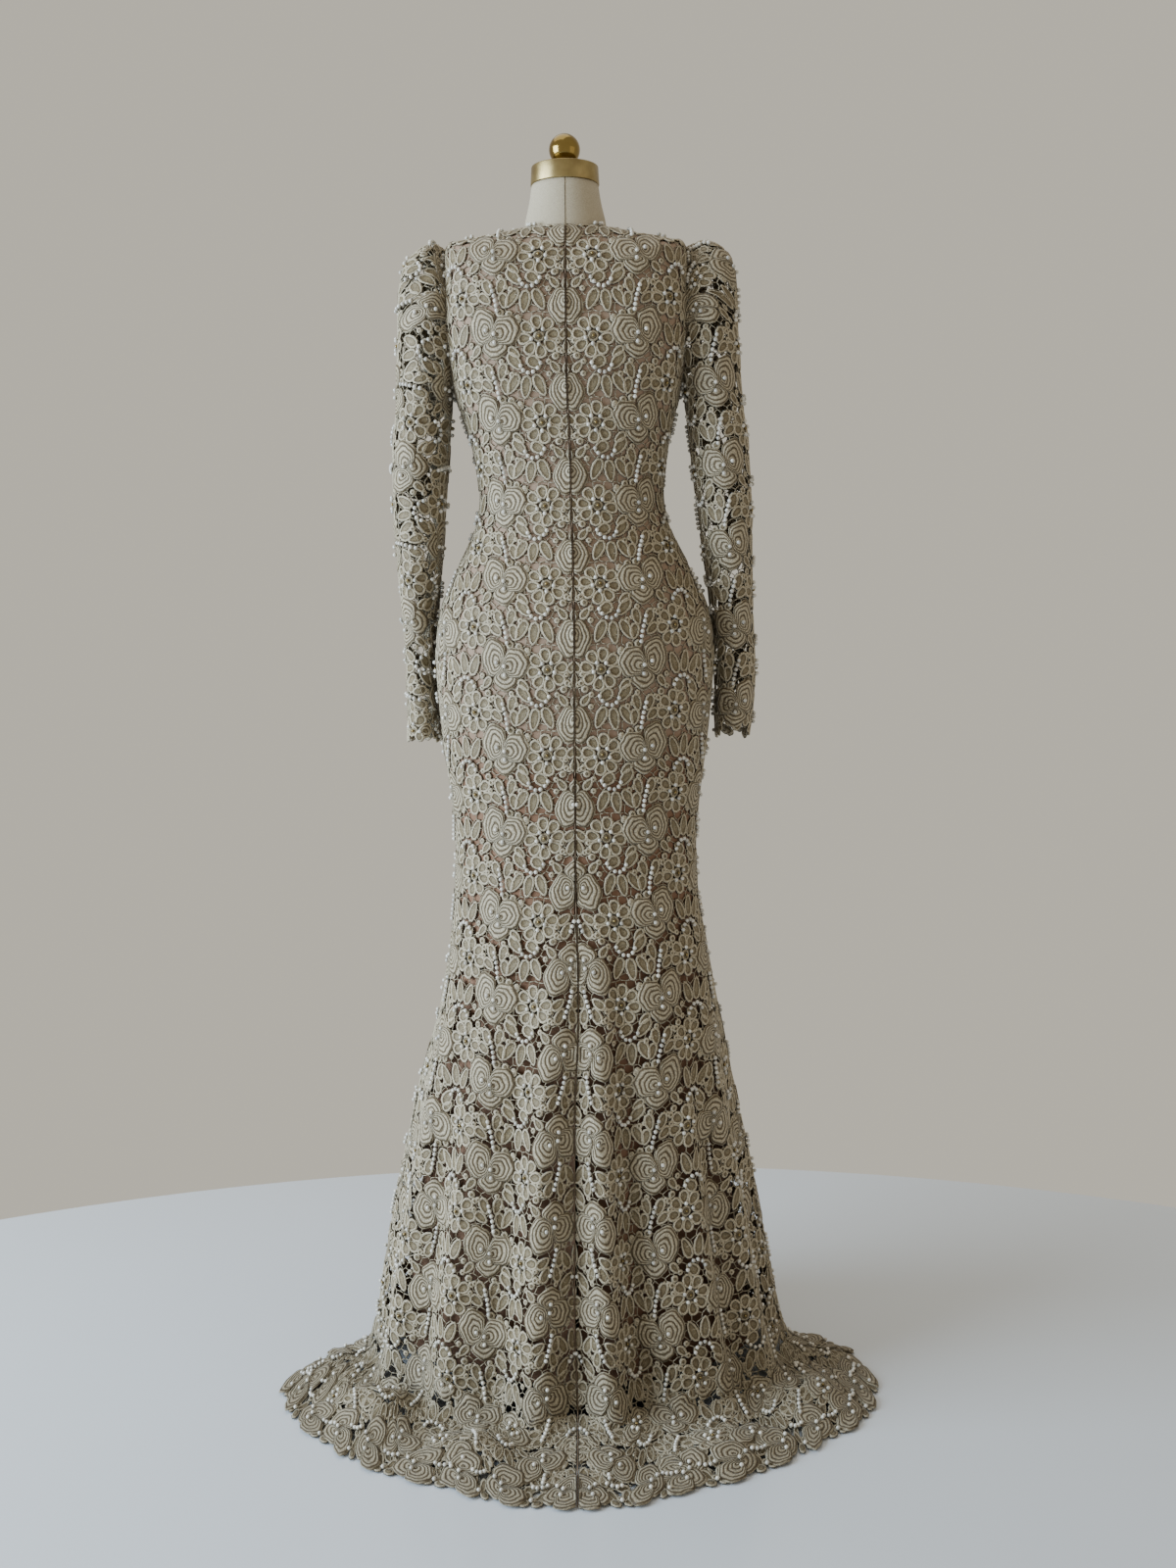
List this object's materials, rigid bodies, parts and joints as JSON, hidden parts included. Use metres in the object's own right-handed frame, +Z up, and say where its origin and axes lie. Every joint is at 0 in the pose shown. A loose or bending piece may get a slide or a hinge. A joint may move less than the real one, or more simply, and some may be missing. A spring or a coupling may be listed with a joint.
{
  "type": "mermaid gown on a dress form",
  "caption": "Long-sleeved mermaid gown of beaded guipure lace over a lining, flaring below the knee into a short train, standing on a limbless dress form.",
  "frame": {"origin": "middle of the stand base's underside, on the floor", "axes": "+Z up; the gown's front faces +Y and its back, with the train, faces -Y; the wearer's right is at +X"},
  "size_m": [0.7516, 0.5871, 1.5737],
  "materials": {
    "lace": "matte corded guipure lace",
    "lining": "matte",
    "zip_tape": "matte",
    "canvas": "matte canvas",
    "brass": "satin",
    "painted_metal": "satin black"
  },
  "bodies": {
    "root": {"lace_back_left_body": "lace", "lace_back_left_flare": "lace", "lace_back_right_body": "lace", "lace_back_right_flare": "lace", "lace_front_body": "lace", "lace_front_flare": "lace", "sleeve_left_back_upper": "lace", "sleeve_left_back_lower": "lace", "sleeve_left_front_upper": "lace", "sleeve_left_front_lower": "lace", "sleeve_right_back_upper": "lace", "sleeve_right_back_lower": "lace", "sleeve_right_front_upper": "lace", "sleeve_right_front_lower": "lace", "lining_back_left": "lining", "lining_back_right": "lining", "lining_front": "lining", "centre_back_zip": "zip_tape", "dress_form_body": "canvas", "brass_neck_cap": "brass", "brass_ball_finial": "brass", "stand_pole": "painted_metal", "stand_base": "painted_metal"}
  },
  "joints": []
}
